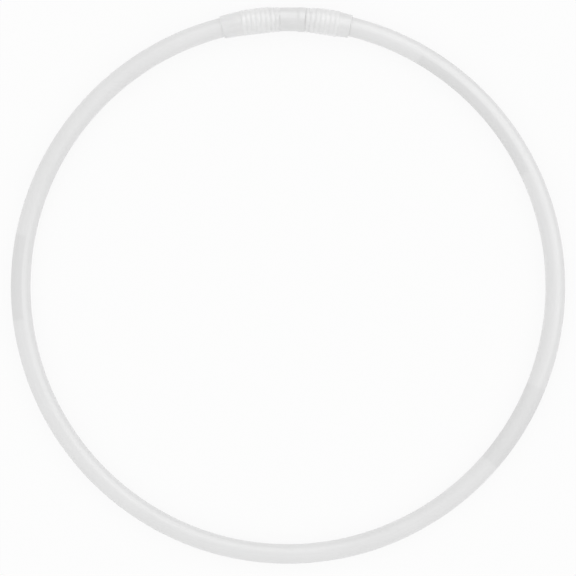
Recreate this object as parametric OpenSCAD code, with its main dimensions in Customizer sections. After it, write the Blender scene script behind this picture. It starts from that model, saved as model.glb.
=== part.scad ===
// Rhythmic gymnastics hoop lying flat. The origin is the centre of the ring, Z is the
// hoop's own axis, and the joint that closes the ring is at +Y.
// A place along the tube is its arc distance from the middle of the joint, in
// millimetres on the tube's centreline, and positive towards +X.

/* [Ring] */
// Outside diameter of the whole ring
hoop_d = 600; // [540:10:660]
// Outside diameter of the tube
tube_d = 21.2; // [20.8:0.2:22]
// Wall thickness of the tube
tube_wall = 2; // [1.6:0.1:2.2]

/* [Connector] */
// Length of the bare neck between the two sleeves, with its collar
neck_l = 27.2; // [26:0.2:29]
// How far the neck stands proud of the tube
neck_rise = 2.2; // [1.8:0.1:2.4]
// Length of the collar at the neck's +X end
collar_l = 7.4; // [5:0.2:9]
// How far the collar stands proud of the neck
collar_rise = 0.6; // [0.3:0.1:0.8]
// Length of the spigot that enters each end of the tube
spigot_l = 54; // [50:1:64]
// Sealing rings on each spigot
barb_count = 6; // [3:1:6]

/* [Sleeves] */
// Length of the sleeve on the -X side
left_sleeve_l = 63.4; // [58:0.2:68]
// Length of the sleeve on the +X side
right_sleeve_l = 49.4; // [46:0.2:56]
// Grip ribs on the sleeve on the -X side
left_ribs = 8; // [5:1:8]
// Grip ribs on the sleeve on the +X side
right_ribs = 7; // [5:1:7]
// Distance from one rib to the next
rib_pitch = 5.3; // [4.8:0.1:5.4]
// Width of a rib's crest
rib_w = 3; // [2.4:0.1:3.6]
// How far the rib crests stand proud of the tube
rib_rise = 3.5; // [3.2:0.1:3.8]
// How much lower the rib next to the neck is than the full ribs
rib_ease = 0.8; // [0.4:0.1:1]
// Depth of the grooves between the ribs
rib_depth = 0.5; // [0.4:0.1:0.8]
// Gap between the tube and the inside of a sleeve
slide_gap = 0.08; // [0.05:0.01:0.1]

/* [Lock pins] */
// Diameter of the slotted spring pins
pin_d = 3; // [2.5:0.1:3.5]
// Place of each pin along the tube
pin_at = 40.4; // [39:0.2:42]

/* [Hidden] */

ring_fn = 240;
round_fn = 64;
ring_r = (hoop_d - tube_d) / 2;
tube_r = tube_d / 2;
bore_r = tube_r - tube_wall;

neck_r = tube_r + neck_rise;
neck_end = neck_l / 2;
collar_r = neck_r + collar_rise;
end_gap = 0.2;
tube_end = neck_end + end_gap;

spigot_end = neck_end + spigot_l;
spigot_r = bore_r - 0.08;
web_r = bore_r - 0.6;
web_w = 2.2;
core_r = 5;
barb_w = 2.4;
boss_l = 9;
boss_r = spigot_r - 0.2;
tip_l = 4;

sleeve_start = neck_end + 0.3;
sleeve_bore_r = tube_r + slide_gap;
rib_r = tube_r + rib_rise;
eased_ribs = 2;
lip_l = 0.8;
lip_r = rib_r - rib_ease - rib_depth + 0.15;
ribs_start = sleeve_start + lip_l;
tail_r = rib_r - rib_depth - 0.2;
cuff_r = tube_r + 1.8;
overlap = 1;

pin_hole_r = pin_d / 2 + 0.02;
pin_bore_r = pin_d / 2 - 0.6;
pin_slot_w = 0.6;
pin_l = tube_d - 1.4;

// The angle round the ring that an arc distance covers
function turn(along) = along / ring_r * 180 / PI;

// Where the last of a sleeve's ribs ends
function ribs_end(ribs) = ribs_start + (ribs - 1) * rib_pitch + rib_w;

// The radius of a rib's crest: the ribs nearest the neck are lower than the rest
function crest_r(i) = rib_r - rib_ease * max(0, 1 - i / eased_ribs);

// Sweeps a flat profile along the tube's centreline, from one place to another
module sweep(from, to) {
    rotate([0, 0, 90 - turn(to)])
        rotate_extrude(angle = turn(to - from), $fn = ring_fn)
            translate([ring_r, 0])
                children();
}

// A solid or hollow round bar that follows the ring
module bar(from, to, r_out, r_in = 0) {
    sweep(from, to)
        difference() {
            circle(r = r_out, $fn = round_fn);
            if (r_in > 0) circle(r = r_in, $fn = round_fn);
        }
}

// Puts its children on the tube's centreline, with X along the tube and Y outward
module on_tube(along) {
    rotate([0, 0, -turn(along)])
        translate([0, ring_r, 0])
            children();
}

// Makes its children on the +X side of the joint, and again on the -X side
module both_sides() {
    children();
    mirror([1, 0, 0]) children();
}

// The upright hole that a lock pin is driven through
module pin_hole() {
    on_tube(pin_at)
        cylinder(r = pin_hole_r, h = 2 * tube_d, center = true, $fn = round_fn);
}

// One length of tube, bent round until its ends meet the connector's neck
module hoop_tube() {
    color("gainsboro")
        difference() {
            bar(tube_end, 2 * PI * ring_r - tube_end, tube_r, bore_r);
            both_sides() pin_hole();
        }
}

// A spigot: a core with webs, sealing rings along it and a solid boss for the pin
module spigot() {
    root = neck_end - 0.5;
    ring_pitch = (spigot_l - tip_l) / barb_count;
    difference() {
        union() {
            bar(root, spigot_end, core_r);
            sweep(root, spigot_end - tip_l) square([2 * web_r, web_w], center = true);
            sweep(root, spigot_end - tip_l) square([web_w, 2 * web_r], center = true);
            for (i = [1 : barb_count]) {
                ring_end = neck_end + i * ring_pitch;
                bar(ring_end - barb_w, ring_end, spigot_r);
            }
            bar(pin_at - boss_l / 2, pin_at + boss_l / 2, boss_r);
        }
        pin_hole();
    }
}

// The moulded piece inside the joint: a neck and collar that show, with a spigot each side
module connector() {
    color("lightgray")
        union() {
            bar(-neck_end, neck_end, neck_r);
            bar(neck_end - collar_l, neck_end, collar_r);
            both_sides() spigot();
        }
}

// The plain end of a sleeve, which thins down towards the tube
module tail(from, to) {
    intersection() {
        bar(from, to, rib_r);
        on_tube((from + to) / 2)
            rotate([0, 90, 0])
                cylinder(r1 = tail_r, r2 = cuff_r, h = 1.1 * (to - from), center = true, $fn = round_fn);
    }
}

// A sleeve on the +X side: lip, ribs and tail, bored to slide along the tube
module sleeve(length, ribs) {
    sleeve_end = sleeve_start + length;
    difference() {
        union() {
            bar(sleeve_start, ribs_start + overlap, lip_r);
            for (i = [0 : ribs - 1]) {
                rib_start = ribs_start + i * rib_pitch;
                next_start = rib_start + rib_pitch;
                bar(rib_start, rib_start + rib_w, crest_r(i));
                if (i < ribs - 1)
                    bar(rib_start + overlap, next_start + overlap, crest_r(i) - rib_depth);
            }
            tail(ribs_end(ribs) - 2 * overlap, sleeve_end);
        }
        bar(sleeve_start - 1, sleeve_end + 1, sleeve_bore_r);
    }
}

module right_sleeve() {
    color("whitesmoke") sleeve(right_sleeve_l, right_ribs);
}

module left_sleeve() {
    color("whitesmoke") mirror([1, 0, 0]) sleeve(left_sleeve_l, left_ribs);
}

// A slotted spring pin, upright through the tube and the spigot
module pin() {
    on_tube(pin_at)
        linear_extrude(height = pin_l, center = true)
            difference() {
                circle(r = pin_d / 2, $fn = round_fn);
                circle(r = pin_bore_r, $fn = round_fn);
                translate([0, -pin_slot_w / 2]) square([pin_d, pin_slot_w]);
            }
}

module right_pin() {
    color("silver") pin();
}

module left_pin() {
    color("silver") mirror([1, 0, 0]) pin();
}

hoop_tube();
connector();
left_sleeve();
right_sleeve();
left_pin();
right_pin();
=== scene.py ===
import math

import bmesh
import bpy
import numpy as np
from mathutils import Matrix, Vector


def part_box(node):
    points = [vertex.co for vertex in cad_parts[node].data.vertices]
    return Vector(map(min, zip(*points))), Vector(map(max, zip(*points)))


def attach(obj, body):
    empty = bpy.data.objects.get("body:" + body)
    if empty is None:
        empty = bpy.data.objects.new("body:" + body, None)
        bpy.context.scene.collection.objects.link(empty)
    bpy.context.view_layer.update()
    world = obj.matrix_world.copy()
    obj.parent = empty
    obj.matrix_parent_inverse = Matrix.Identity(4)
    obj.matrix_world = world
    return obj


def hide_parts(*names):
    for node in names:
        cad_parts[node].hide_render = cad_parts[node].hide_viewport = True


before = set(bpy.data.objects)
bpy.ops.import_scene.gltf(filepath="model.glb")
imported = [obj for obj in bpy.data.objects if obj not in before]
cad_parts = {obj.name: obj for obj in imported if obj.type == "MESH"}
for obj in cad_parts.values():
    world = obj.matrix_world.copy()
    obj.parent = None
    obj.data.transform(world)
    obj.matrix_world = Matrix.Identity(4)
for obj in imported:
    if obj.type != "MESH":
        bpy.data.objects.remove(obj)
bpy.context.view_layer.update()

MM = 0.001
FULL_TURN = 2 * math.pi


# ---------------------------------------------------------------- sizes, from the CAD nodes


def node_points(node):
    """A CAD node's points at rest."""
    return np.array([v.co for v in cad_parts[node].data.vertices])


def ring_radius():
    """The radius of the tube's centreline."""
    points = node_points("hoop_tube")
    return np.hypot(points[:, 0], points[:, 1]).max() - points[:, 2].max()


RING_R = ring_radius()


def node_span(node):
    """A CAD node's least and greatest distance along the tube from the middle of the joint."""
    points = node_points(node)
    along = np.abs(np.arctan2(points[:, 0], points[:, 1])) * RING_R
    return along.min(), along.max()


def node_radii(node):
    """A CAD node's least and greatest distance from the tube's centreline."""
    points = node_points(node)
    out = np.hypot(points[:, 0], points[:, 1]) - RING_R
    distance = np.hypot(out, points[:, 2])
    return distance.min(), distance.max()


BORE_R, TUBE_R = node_radii("hoop_tube")
TUBE_START = node_span("hoop_tube")[0]
NECK_END = TUBE_START - 0.2 * MM
SPIGOT_END = node_span("connector")[1]
SLEEVE_START = node_span("right_sleeve")[0]
SLEEVE_BORE_R, RIB_R = node_radii("right_sleeve")
PIN_START, PIN_END = node_span("right_pin")
PIN_AT = (PIN_START + PIN_END) / 2
PIN_R = (PIN_END - PIN_START) / 2
PIN_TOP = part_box("right_pin")[1].z
PIN_HOLE_R = PIN_R + 0.02 * MM

# The neck's collar at its +X end, as in the CAD model
COLLAR_R = node_radii("connector")[1]
COLLAR_L = 7.4 * MM
NECK_R = COLLAR_R - 0.6 * MM

# The sleeves' ribs and tails, as in the CAD model: the ribs nearest the neck are lower
RIB_COUNTS = {"left": 8, "right": 7}
LIP_L = 0.8 * MM
RIB_PITCH = 5.3 * MM
RIB_W = 3 * MM
RIB_DEPTH = 0.5 * MM
RIB_EASE = 0.8 * MM
EASED_RIBS = 2
LIP_R = RIB_R - RIB_EASE - RIB_DEPTH + 0.15 * MM
TAIL_R = RIB_R - RIB_DEPTH - 0.2 * MM
CUFF_R = TUBE_R + 1.8 * MM
# The grooves' soft bottoms are a little shallower than the CAD model's square ones
GROOVE_DEPTH = RIB_DEPTH - 0.14 * MM
# The sleeves are pushed up until they all but touch the neck
SNUG = 0.18 * MM

# The connector's spigots, as in the CAD model
SPIGOT_R = BORE_R - 0.08 * MM
BOSS_R = SPIGOT_R - 0.2 * MM
CORE_R = 5 * MM
WEB_R = BORE_R - 0.6 * MM
WEB_W = 2.2 * MM
SEAL_COUNT = 6
SEAL_W = 2.4 * MM
TIP_L = 4 * MM


# ---------------------------------------------------------------- mesh tools


def ring_points(along, radius, turn):
    """Points at a place along the tube, and at a radius and a turn round it.

    A turn of 0 faces away from the ring's centre, and a quarter turn faces up.
    """
    angle = along / RING_R
    out = RING_R + radius * np.cos(turn)
    up = radius * np.sin(turn) + 0 * out
    return np.stack([out * np.sin(angle), out * np.cos(angle), up], axis=-1)


def rounded(corners, steps=4):
    """A closed outline with its corners rounded: each corner is (along, radius, rounding)."""
    outline = []
    for i, (along, radius, rounding) in enumerate(corners):
        here = np.array((along, radius))
        if rounding == 0:
            outline.append(here)
            continue
        arms = []
        for j in (i - 1, (i + 1) % len(corners)):
            arm = np.array(corners[j][:2]) - here
            length = np.linalg.norm(arm)
            arms.append(arm / length * min(rounding, 0.49 * length))
        for t in np.linspace(0, 1, steps + 1):
            outline.append(here + (1 - t) ** 2 * arms[0] + t**2 * arms[1])
    return np.array(outline)


def refined(outline, step, closed=True):
    """The outline with more points, so that no stretch of it is longer than a step."""
    result = []
    last = len(outline) if closed else len(outline) - 1
    for i in range(last):
        start, end = outline[i], outline[(i + 1) % len(outline)]
        count = max(1, math.ceil(np.linalg.norm(end - start) / step))
        for k in range(count):
            result.append(start + (end - start) * k / count)
    if not closed:
        result.append(outline[-1])
    return np.array(result)


def add_piece(name, points, faces, body, node, crease=32):
    """A piece made from points and faces, which rides on a body and stands for a CAD node."""
    mesh = bpy.data.meshes.new(name)
    mesh.from_pydata(points, [], faces)
    work = bmesh.new()
    work.from_mesh(mesh)
    bmesh.ops.recalc_face_normals(work, faces=work.faces)
    work.to_mesh(mesh)
    work.free()
    mesh.shade_smooth()
    mesh.set_sharp_from_angle(angle=math.radians(crease))
    piece = bpy.data.objects.new(name, mesh)
    bpy.context.scene.collection.objects.link(piece)
    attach(piece, body)
    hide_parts(node)
    return piece


def swept(outline, turns, closed=True, shape=None):
    """Points and faces of an outline carried round the tube's centreline.

    shape, if there is one, gives the radius from the place, the radius and the turn of a point.
    """
    along = outline[:, :1] + 0 * turns[None, :]
    radius = outline[:, 1:] + 0 * turns[None, :]
    turn = turns[None, :] + 0 * along
    if shape is not None:
        radius = shape(along, radius, turn)
    points = ring_points(along, radius, turn).reshape(-1, 3)
    rows, columns = len(outline), len(turns)
    faces = []
    for i in range(rows if closed else rows - 1):
        row, following = i * columns, (i + 1) % rows * columns
        for j in range(columns):
            k = (j + 1) % columns
            faces.append((row + j, row + k, following + k, following + j))
    if not closed:
        faces.append(tuple(range(columns)))
        faces.append(tuple(range((rows - 1) * columns, rows * columns)))
    return points, faces


def even_turns(count):
    """Turns round the tube, evenly spaced."""
    return np.arange(count) * FULL_TURN / count


def turns_with_seams(count):
    """Even turns, with two more close on each side of the mould seams at 0 and at half a turn."""
    near = [0.012, 0.03]
    extra = [seam + side * a for seam in (0, math.pi) for side in (-1, 1) for a in near]
    return np.array(sorted({round(t % FULL_TURN, 5) for t in [*even_turns(count), *extra]}))


def seam_height(turn, height):
    """The height of the fine ridge that a two-part mould leaves at turns 0 and half a turn."""
    return height * np.exp(-((np.sin(turn) / 0.014) ** 2))


def drill(piece, places, radius):
    """Cuts upright round holes through a piece, at places along the tube."""
    work = bmesh.new()
    for place in places:
        centre = ring_points(np.array(place), np.array(0.0), np.array(0.0))
        made = bmesh.ops.create_cone(
            work, cap_ends=True, segments=40, radius1=radius, radius2=radius, depth=4 * TUBE_R
        )
        bmesh.ops.translate(work, verts=made["verts"], vec=Vector(centre))
    mesh = bpy.data.meshes.new("cutter")
    work.to_mesh(mesh)
    work.free()
    cutter = bpy.data.objects.new("cutter", mesh)
    bpy.context.scene.collection.objects.link(cutter)
    cut = piece.modifiers.new("holes", "BOOLEAN")
    cut.object = cutter
    cut.solver = "EXACT"
    result = bpy.data.meshes.new_from_object(
        piece.evaluated_get(bpy.context.evaluated_depsgraph_get())
    )
    piece.modifiers.clear()
    piece.data = result
    bpy.data.objects.remove(cutter)


def smooth_round(piece, radius, facing):
    """Gives the faces that lie at one radius round the tube the true normals of that surface."""
    mesh = piece.data
    points = np.array([v.co for v in mesh.vertices])
    flat = np.hypot(points[:, 0], points[:, 1])
    out, up = flat - RING_R, points[:, 2]
    distance = np.hypot(out, up)
    on_surface = np.abs(distance - radius) < 0.01 * MM
    true = np.stack([points[:, 0] / flat * out, points[:, 1] / flat * out, up], axis=-1)
    true *= facing / np.maximum(distance, 1e-9)[:, None]
    normals = np.array([corner.vector for corner in mesh.corner_normals])
    for face in mesh.polygons:
        if all(on_surface[v] for v in face.vertices):
            for corner, vertex in zip(face.loop_indices, face.vertices):
                normals[corner] = true[vertex]
    mesh.normals_split_custom_set(normals.tolist())


# ---------------------------------------------------------------- the pieces


def make_tube():
    """The tube: one ring of plastic tube with eased ends and the holes for the two pins."""
    ease, outside_step, inside_step = 0.35 * MM, 2.5 * MM, 7 * MM
    start, end = TUBE_START, FULL_TURN * RING_R - TUBE_START
    outside = np.array([(start + ease, TUBE_R), (end - ease, TUBE_R)])
    outside = refined(outside, outside_step, False)
    inside = np.array([(end - ease, BORE_R), (start + ease, BORE_R)])
    inside = refined(inside, inside_step, False)
    far_end = np.array([(end, TUBE_R - ease), (end, BORE_R + ease)])
    near_end = np.array([(start, BORE_R + ease), (start, TUBE_R - ease)])
    outline = np.concatenate([outside, far_end, inside, near_end])
    points, faces = swept(outline, even_turns(56))
    piece = add_piece("hoop_tube_skin", points, faces, "ring", "hoop_tube")
    drill(piece, (PIN_AT, -PIN_AT), PIN_HOLE_R)
    smooth_round(piece, TUBE_R, 1)
    return piece


def web_reach(turn):
    """How far from the centreline the four crossed webs of a spigot reach, at each turn."""
    half = WEB_W / 2
    out, up = np.abs(np.cos(turn)), np.abs(np.sin(turn))
    flat_web = np.minimum(half / np.maximum(up, 1e-6), WEB_R / np.maximum(out, 1e-6))
    upright_web = np.minimum(half / np.maximum(out, 1e-6), WEB_R / np.maximum(up, 1e-6))
    return np.maximum(flat_web, upright_web)


def connector_shape(along, radius, turn):
    """Adds the spigots' webs between neck and tip, and a fine mould seam along the neck."""
    place = np.abs(along)
    webbed = (place > NECK_END) & (place < SPIGOT_END - TIP_L)
    radius = np.where(webbed, np.maximum(radius, web_reach(turn)), radius)
    return np.where(place < NECK_END - 0.3 * MM, radius + seam_height(turn, 0.05 * MM), radius)


def spigot_corners():
    """Corners of a spigot's outline from the neck to its tip, on the +X side.

    Sealing rings stand on a core, and the pin's boss fills the gap between two of them.
    """
    pitch = (SPIGOT_END - NECK_END - TIP_L) / SEAL_COUNT

    def foot(start, end):
        """The radius of the gap between two places, and the rounding of the rings beside it."""
        return (BOSS_R, 0.1 * MM) if start < PIN_AT < end else (CORE_R, 0.3 * MM)

    corners = [(NECK_END, CORE_R, 0)]
    for i in range(SEAL_COUNT):
        previous_end = NECK_END + i * pitch
        end = previous_end + pitch
        start = end - SEAL_W
        radius, rounding = foot(previous_end, start)
        corners += [(start, radius, 0), (start, SPIGOT_R, rounding)]
        radius, rounding = foot(end, start + pitch)
        corners += [(end, SPIGOT_R, rounding), (end, radius, 0)]
    corners.append((SPIGOT_END, CORE_R, 0.8 * MM))
    return corners


def make_connector():
    """The plug: a neck that shows between the sleeves, and a spigot into each end of the tube."""
    spigot = spigot_corners()
    collar_start = NECK_END - COLLAR_L
    edge, ramp, blend = 0.1 * MM, 1.3 * MM, 0.9 * MM
    neck = [
        (-NECK_END, NECK_R, edge),
        (collar_start - ramp, NECK_R, blend),
        (collar_start + ramp, COLLAR_R, blend),
        (NECK_END, COLLAR_R, edge),
    ]
    corners = [(-a, r, f) for a, r, f in reversed(spigot)] + neck + spigot
    outline = rounded([*corners, (SPIGOT_END, 0.0, 0), (-SPIGOT_END, 0.0, 0)])
    outline = refined(outline[:-2], 2 * MM, False)
    points, faces = swept(outline, turns_with_seams(96), False, connector_shape)
    piece = add_piece("connector_plug", points, faces, "ring", "connector")
    drill(piece, (PIN_AT, -PIN_AT), PIN_HOLE_R)
    return piece


def crest_r(i):
    """The radius of a sleeve's rib, counted from the neck."""
    return RIB_R - RIB_EASE * max(0, 1 - i / EASED_RIBS)


def sleeve_corners(side):
    """Corners of a sleeve's outline: bore, lip, ribs, tail and the step down to the tube."""
    flank, foot_rounding, crest_rounding = 0.55 * MM, 0.4 * MM, 0.8 * MM
    count = RIB_COUNTS[side]
    sleeve_end = node_span(f"{side}_sleeve")[1]
    ribs_start = SLEEVE_START + LIP_L
    lip = SLEEVE_START - SNUG
    corners = [(lip, SLEEVE_BORE_R, 0.2 * MM), (lip, LIP_R, 0.1 * MM)]
    foot = LIP_R
    for i in range(count):
        start = ribs_start + i * RIB_PITCH
        end = start + RIB_W
        after = TAIL_R if i == count - 1 else crest_r(i) - GROOVE_DEPTH
        corners += [
            (start - flank, foot, foot_rounding),
            (start + flank, crest_r(i), crest_rounding),
            (end - flank, crest_r(i), crest_rounding),
            (end + flank, after, foot_rounding),
        ]
        foot = after
    corners += [(sleeve_end, CUFF_R, 1.3 * MM), (sleeve_end, SLEEVE_BORE_R, 0.2 * MM)]
    return corners


def make_sleeve(side, sign):
    """A ribbed sleeve on one side of the joint; sign is 1 for +X and -1 for -X."""
    phase = 1.3 + sign
    wave, seam = 0.03 * MM, 0.06 * MM

    def shape(along, radius, turn):
        """Makes the outside a little uneven, as soft plastic is, with a seam on each side."""
        place = np.abs(along)
        outer = radius > SLEEVE_BORE_R + 0.6 * MM
        uneven = wave * (np.sin(2 * turn + place / RIB_PITCH * 2.1 + phase) - 1)
        return np.where(outer, radius + seam_height(turn, seam) + uneven, radius)

    outline = refined(rounded(sleeve_corners(side)), 1.6 * MM) * (sign, 1)
    points, faces = swept(outline, turns_with_seams(80), True, shape)
    body, node = f"{side}_grip", f"{side}_sleeve"
    return add_piece(f"{side}_sleeve_ribbed", points, faces, body, node, 50)


def make_pin(side, sign):
    """A slotted spring pin: a rolled strip with chamfered ends, upright in the tube."""
    wall, chamfer, half_slot = 0.6 * MM, 0.35 * MM, 0.3 * MM
    straight = PIN_TOP - chamfer
    levels = [(-PIN_TOP, chamfer), (-straight, 0), (straight, 0), (PIN_TOP, chamfer)]
    arc_steps = 28
    points = []
    for height, inset in levels:
        outer, inner = PIN_R - inset, PIN_R - wall
        for radius, direction in ((outer, 1), (inner, -1)):
            gap = math.asin(half_slot / radius)
            turns = np.linspace(gap, FULL_TURN - gap, arc_steps)[::direction]
            for turn in turns:
                points.append((radius * math.cos(turn), radius * math.sin(turn), height))
    loop = 2 * arc_steps
    faces = [tuple(range(loop)), tuple(range(3 * loop, 4 * loop))]
    for i in range(len(levels) - 1):
        for j in range(loop):
            k = (j + 1) % loop
            faces.append((i * loop + j, i * loop + k, (i + 1) * loop + k, (i + 1) * loop + j))
    angle = sign * PIN_AT / RING_R
    centre = ring_points(np.array(sign * PIN_AT), np.array(0.0), np.array(0.0))
    tangent = np.array((math.cos(angle), -math.sin(angle), 0))
    outward = np.array((math.sin(angle), math.cos(angle), 0))
    placed = [centre + sign * x * tangent + y * outward + (0, 0, z) for x, y, z in points]
    return add_piece(f"{side}_pin_rolled", placed, faces, "ring", f"{side}_pin", 40)


# ---------------------------------------------------------------- materials

# Each material's tone and roughness before its marks. No roughness falls below 0.28, because
# the denoiser takes a smoother surface for a mirror and leaves specks where it starts.
TUBE_TONE, TUBE_ROUGHNESS = 0.779, 0.36
SLEEVE_TONE, SLEEVE_ROUGHNESS = 0.808, 0.3
PLUG_TONE, PLUG_ROUGHNESS = 0.75, 0.295
PIN_ROUGHNESS = 0.32


class Shader:
    """One material, with short calls for the nodes that it is built from."""

    def __init__(self, name):
        self.material = bpy.data.materials.new(name)
        self.material.use_nodes = True
        self.tree = self.material.node_tree
        self.surface = self.tree.nodes["Principled BSDF"]
        self.place = self.node("ShaderNodeTexCoord").outputs["Object"]

    def node(self, kind, **settings):
        made = self.tree.nodes.new(kind)
        for name, value in settings.items():
            setattr(made, name, value)
        return made

    def feed(self, socket, value):
        """Sets a socket, or links it if the value is another node's output."""
        if isinstance(value, bpy.types.NodeSocket):
            self.tree.links.new(value, socket)
        else:
            socket.default_value = value

    def math(self, operation, *values):
        made = self.node("ShaderNodeMath", operation=operation)
        for socket, value in zip(made.inputs, values):
            self.feed(socket, value)
        return made.outputs[0]

    def product(self, first, *others):
        for other in others:
            first = self.math("MULTIPLY", first, other)
        return first

    def total(self, first, *others):
        for other in others:
            first = self.math("ADD", first, other)
        return first

    def span(self, value, low, high, to_low=0.0, to_high=1.0):
        """The value carried from one range to another, and held at its ends."""
        made = self.node("ShaderNodeMapRange")
        for name, setting in (
            ("Value", value), ("From Min", low), ("From Max", high),
            ("To Min", to_low), ("To Max", to_high),
        ):
            self.feed(made.inputs[name], setting)
        return made.outputs["Result"]

    def vector(self, x, y, z):
        made = self.node("ShaderNodeCombineXYZ")
        for socket, value in zip(made.inputs, (x, y, z)):
            self.feed(socket, value)
        return made.outputs[0]

    def noise(self, scale, detail=2.0, place=None, w=None):
        made = self.node("ShaderNodeTexNoise", noise_dimensions="3D" if w is None else "4D")
        self.feed(made.inputs["Vector"], self.place if place is None else place)
        if w is not None:
            self.feed(made.inputs["W"], w)
        made.inputs["Scale"].default_value = scale
        made.inputs["Detail"].default_value = detail
        return made.outputs["Fac"]

    def grey(self, value, warmth=(1.0, 1.0, 1.0)):
        """A colour of one tone, tinted a little."""
        made = self.node("ShaderNodeCombineColor")
        for socket, tint in zip(made.inputs, warmth):
            self.feed(socket, self.product(value, tint) if tint != 1.0 else value)
        return made.outputs[0]

    def bump(self, *layers):
        """Bump from (height, depth in metres) layers."""
        normal = None
        for height, depth in layers:
            made = self.node("ShaderNodeBump")
            made.inputs["Strength"].default_value = 1.0
            made.inputs["Distance"].default_value = depth
            self.feed(made.inputs["Height"], height)
            if normal is not None:
                self.feed(made.inputs["Normal"], normal)
            normal = made.outputs[0]
        self.feed(self.surface.inputs["Normal"], normal)

    def set(self, **values):
        """Sets the surface's own sockets; an underscore in a name stands for a space."""
        for name, value in values.items():
            self.feed(self.surface.inputs[name.replace("_", " ")], value)

    def split_place(self):
        made = self.node("ShaderNodeSeparateXYZ")
        self.feed(made.inputs[0], self.place)
        return made.outputs[0], made.outputs[1], made.outputs[2]

    def ring_place(self):
        """Where a point is: its direction round the ring as x and y, its distance outward from
        the tube's centreline and above it, and its distance from that line."""
        x, y, up = self.split_place()
        flat = self.math("SQRT", self.total(self.product(x, x), self.product(y, y)))
        out = self.math("SUBTRACT", flat, RING_R)
        distance = self.math("SQRT", self.total(self.product(out, out), self.product(up, up)))
        return self.math("DIVIDE", x, flat), self.math("DIVIDE", y, flat), out, up, distance

    def streaks(self, ring, across, along, detail=3.0):
        """Streaks that run along the tube: fine across it, and long along it (both in metres)."""
        x, y, out, up = ring[:4]
        reach = RING_R / along
        vector = self.vector(
            self.product(x, reach), self.product(y, reach), self.product(out, 1 / across)
        )
        return self.noise(1.0, detail, vector, self.product(up, 1 / across))


def inside(shader, value, low, high, soft):
    """1 where a value lies between two limits, falling to 0 over a soft edge."""
    rise = shader.span(value, low - soft, low + soft)
    fall = shader.span(value, high - soft, high + soft, 1.0, 0.0)
    return shader.product(rise, fall)


# Plain panels of faintly darker, duller tone on the tube's upper side: where each starts and ends
# round the ring, in degrees from the joint towards +X, and how far it reaches from the tube's
# centreline towards the ring's inside and outside, in tube radii
TONE_PANELS = [(29, 63.5, -1.2, -0.08), (111, 130, -1.2, 1.2), (-98, -80, -0.17, 1.2)]


def tone_panels(shader, ring):
    """1 on the plain panels of the tube, and 0 elsewhere."""
    x, y, out, up = ring[:4]
    angle = shader.math("DEGREES", shader.math("ARCTAN2", x, y))
    outward = shader.math("DIVIDE", out, TUBE_R)
    above = shader.span(up, -0.1 * TUBE_R, 0.1 * TUBE_R)
    panels = []
    for start, end, low, high in TONE_PANELS:
        along = inside(shader, angle, start, end, 0.35)
        across = inside(shader, outward, low, high, 0.06)
        panels.append(shader.product(along, across, above))
    return shader.total(*panels)


def tube_material():
    """White polyethylene tube: satin, with draw lines along it, faint clouds and scuffs."""
    s = Shader("tube_plastic")
    ring = s.ring_place()
    out = ring[2]
    panel = tone_panels(s, ring)
    clouds = s.noise(14.0, 3.0)
    draw_lines = s.streaks(ring, 1.1 * MM, 140 * MM)
    hairlines = s.streaks(ring, 0.28 * MM, 30 * MM, 2.0)
    grain = s.noise(900.0, 2.0)
    # The outermost side rolls on the floor, so it carries the scuffs
    rim = s.span(out, 0.72 * TUBE_R, TUBE_R)
    scuffs = s.product(rim, s.span(s.noise(160.0, 4.0), 0.52, 0.7))
    tone = s.total(
        TUBE_TONE,
        s.span(clouds, 0.3, 0.7, -0.012, 0.012),
        s.span(draw_lines, 0.3, 0.7, -0.008, 0.008),
    )
    tone = s.product(
        tone,
        s.span(panel, 0.0, 1.0, 1.0, 0.945),
        s.span(scuffs, 0.0, 1.0, 1.0, 0.965),
    )
    roughness = s.total(
        TUBE_ROUGHNESS,
        s.span(hairlines, 0.3, 0.7, -0.04, 0.05),
        s.product(panel, 0.24),
        s.product(scuffs, 0.2),
    )
    s.set(Base_Color=s.grey(tone), Roughness=roughness, IOR=1.5)
    s.set(Subsurface_Weight=0.12, Subsurface_Scale=0.003, Subsurface_Radius=(1.0, 1.0, 1.0))
    s.bump((draw_lines, 0.016 * MM), (hairlines, 0.004 * MM), (grain, 0.003 * MM))
    return s.material


def sleeve_material():
    """Soft, milky plastic with a gloss, faint flow marks, and dust in the grooves."""
    s = Shader("sleeve_plastic")
    ring = s.ring_place()
    distance = ring[4]
    clouds = s.noise(60.0, 3.0)
    grain = s.noise(1400.0, 3.0)
    flow = s.streaks(ring, 1.6 * MM, 12 * MM)
    ridge = s.span(distance, RIB_R - RIB_DEPTH, RIB_R)
    dust = s.product(s.span(ridge, 0.0, 0.5, 1.0, 0.0), s.span(s.noise(220.0, 3.0), 0.35, 0.6))
    tone = s.total(
        SLEEVE_TONE,
        s.span(clouds, 0.3, 0.7, -0.012, 0.012),
        s.span(flow, 0.3, 0.7, -0.01, 0.01),
    )
    tone = s.product(tone, s.span(dust, 0.0, 1.0, 1.0, 0.99))
    roughness = s.total(
        SLEEVE_ROUGHNESS, s.product(dust, 0.02), s.span(grain, 0.3, 0.7, -0.01, 0.01)
    )
    s.set(Base_Color=s.grey(tone), Roughness=roughness, IOR=1.5, Specular_IOR_Level=0.65)
    s.set(Subsurface_Weight=0.6, Subsurface_Scale=0.004, Subsurface_Radius=(1.0, 1.0, 1.0))
    s.bump((flow, 0.012 * MM), (grain, 0.003 * MM))
    return s.material


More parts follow.
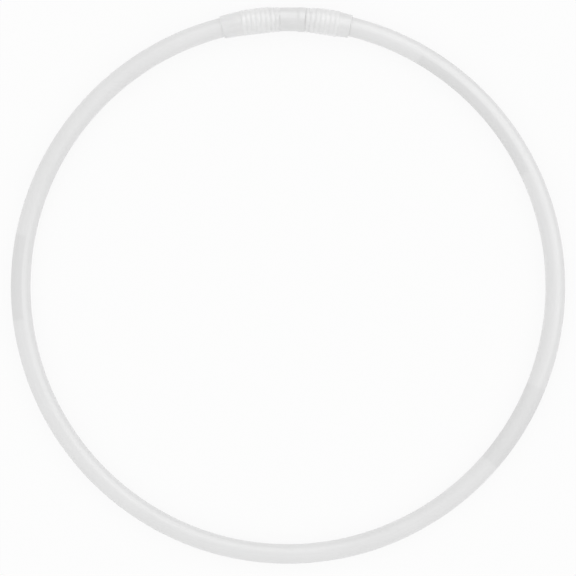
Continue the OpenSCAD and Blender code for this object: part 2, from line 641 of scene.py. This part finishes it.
def connector_material():
    """Harder moulded plastic of a greyer white, finely eroded like the inside of a mould."""
    s = Shader("connector_plastic")
    ring = s.ring_place()
    clouds = s.noise(90.0, 3.0)
    erosion = s.noise(2600.0, 3.0)
    drag = s.streaks(ring, 0.7 * MM, 25 * MM)
    tone = s.total(
        PLUG_TONE,
        s.span(clouds, 0.3, 0.7, -0.018, 0.018),
        s.span(drag, 0.3, 0.7, -0.012, 0.012),
    )
    roughness = s.total(PLUG_ROUGHNESS, s.span(erosion, 0.3, 0.7, -0.01, 0.03))
    s.set(Base_Color=s.grey(tone), Roughness=roughness, IOR=1.5, Specular_IOR_Level=0.65)
    s.bump((drag, 0.012 * MM), (erosion, 0.004 * MM))
    return s.material


def pin_material():
    """Spring steel strip, brushed along the pin, with a darker stain in places."""
    s = Shader("pin_steel")
    x, y, z = s.split_place()
    brushed = s.noise(6000.0, 2.0, s.vector(x, y, s.product(z, 0.03)))
    stain = s.span(s.noise(700.0, 3.0), 0.5, 0.75)
    tone = s.product(s.span(brushed, 0.3, 0.7, 0.52, 0.66), s.span(stain, 0.0, 1.0, 1.0, 0.8))
    roughness = s.total(
        PIN_ROUGHNESS, s.span(brushed, 0.3, 0.7, -0.03, 0.08), s.product(stain, 0.12)
    )
    s.set(Base_Color=s.grey(tone, (1.0, 0.99, 0.97)), Roughness=roughness, Metallic=1.0)
    s.bump((brushed, 0.01 * MM))
    return s.material


def dress(piece, material):
    """Gives a piece its one material."""
    piece.data.materials.clear()
    piece.data.materials.append(material)


# ---------------------------------------------------------------- floor, light and camera

# Shares of the light on the floor: from all round, and from above
ROUND_LIGHT = 0.78
TOP_LIGHT = 0.2
# How bright the key softbox looks in a reflection, where 1 shows as full white
KEY_BRIGHTNESS = 1.6
# The floor is a light table: it glows, and returns part of the light on it
FLOOR_WHITE = 0.2
FLOOR_GLOW = 0.98 - FLOOR_WHITE * (ROUND_LIGHT + TOP_LIGHT)


def make_floor():
    """A pale floor that the hoop really rests on: its sleeves at the joint, its tube opposite."""
    half = 30.0
    slope = (RIB_R - TUBE_R) / (2 * RING_R)
    middle = -(RIB_R + TUBE_R) / 2
    corners = [(-half, -half), (half, -half), (half, half), (-half, half)]
    mesh = bpy.data.meshes.new("floor")
    mesh.from_pydata([(x, y, middle - slope * y) for x, y in corners], [], [(0, 1, 2, 3)])
    floor = bpy.data.objects.new("floor", mesh)
    bpy.context.scene.collection.objects.link(floor)
    s = Shader("floor_white")
    s.set(Base_Color=(FLOOR_WHITE, FLOOR_WHITE, FLOOR_WHITE, 1.0), Roughness=0.9)
    s.set(Specular_IOR_Level=0.0, Emission_Color=(1.0, 1.0, 1.0, 1.0), Emission_Strength=FLOOR_GLOW)
    dress(floor, s.material)


def add_lamp(name, light, place):
    """A lamp at a place, which faces the ring's centre and isn't seen itself."""
    lamp = bpy.data.objects.new(name, light)
    lamp.location = place
    lamp.rotation_mode = "QUATERNION"
    lamp.rotation_quaternion = place.to_track_quat("Z", "Y")
    lamp.visible_camera = False
    bpy.context.scene.collection.objects.link(lamp)
    return lamp


def make_light():
    """Even light from all round and from above, and a broad softbox to the upper right of the
    ring that gives only the gloss, so that the shading stays as even as on a light table."""
    world = bpy.data.worlds.new("studio")
    bpy.context.scene.world = world
    world.use_nodes = True
    background = world.node_tree.nodes["Background"]
    background.inputs["Color"].default_value = (1.0, 1.0, 1.0, 1.0)
    background.inputs["Strength"].default_value = ROUND_LIGHT

    overhead = bpy.data.lights.new("overhead", "SUN")
    overhead.energy = TOP_LIGHT * math.pi
    overhead.angle = math.radians(130)
    add_lamp("overhead", overhead, Vector((0.0, 0.0, 2.0)))

    softbox = bpy.data.lights.new("key", "AREA")
    softbox.shape = "ELLIPSE"
    softbox.size, softbox.size_y = 3.0, 1.96
    area = math.pi * softbox.size * softbox.size_y / 4
    softbox.energy = KEY_BRIGHTNESS * math.pi * area
    round_ring, away, height = math.radians(43), 1.1, 1.0
    place = Vector((away * math.sin(round_ring), away * math.cos(round_ring), height))
    key = add_lamp("key", softbox, place)
    key.visible_diffuse = False


def make_camera():
    """A camera that looks straight down on the ring, with the joint at the top, turned a little."""
    height = 3.0
    view_width = 0.6236
    shift_y = -1.5 * MM
    turned = math.radians(0.95)
    camera = bpy.data.cameras.new("camera")
    camera.sensor_width = 36.0
    camera.lens = camera.sensor_width * height / view_width
    eye = bpy.data.objects.new("camera", camera)
    eye.location = (0.0, shift_y, height)
    eye.rotation_euler = (0.0, 0.0, turned)
    bpy.context.scene.collection.objects.link(eye)
    bpy.context.scene.camera = eye


def clear_start():
    """Removes what a new Blender file already holds."""
    for name in ("Cube", "Light", "Camera"):
        if name in bpy.data.objects:
            bpy.data.objects.remove(bpy.data.objects[name])


clear_start()
bpy.context.scene.view_settings.view_transform = "Standard"

dress(make_tube(), tube_material())
dress(make_connector(), connector_material())
sleeve_plastic, pin_steel = sleeve_material(), pin_material()
for side, sign in (("left", -1), ("right", 1)):
    dress(make_sleeve(side, sign), sleeve_plastic)
    dress(make_pin(side, sign), pin_steel)

make_floor()
make_light()
make_camera()
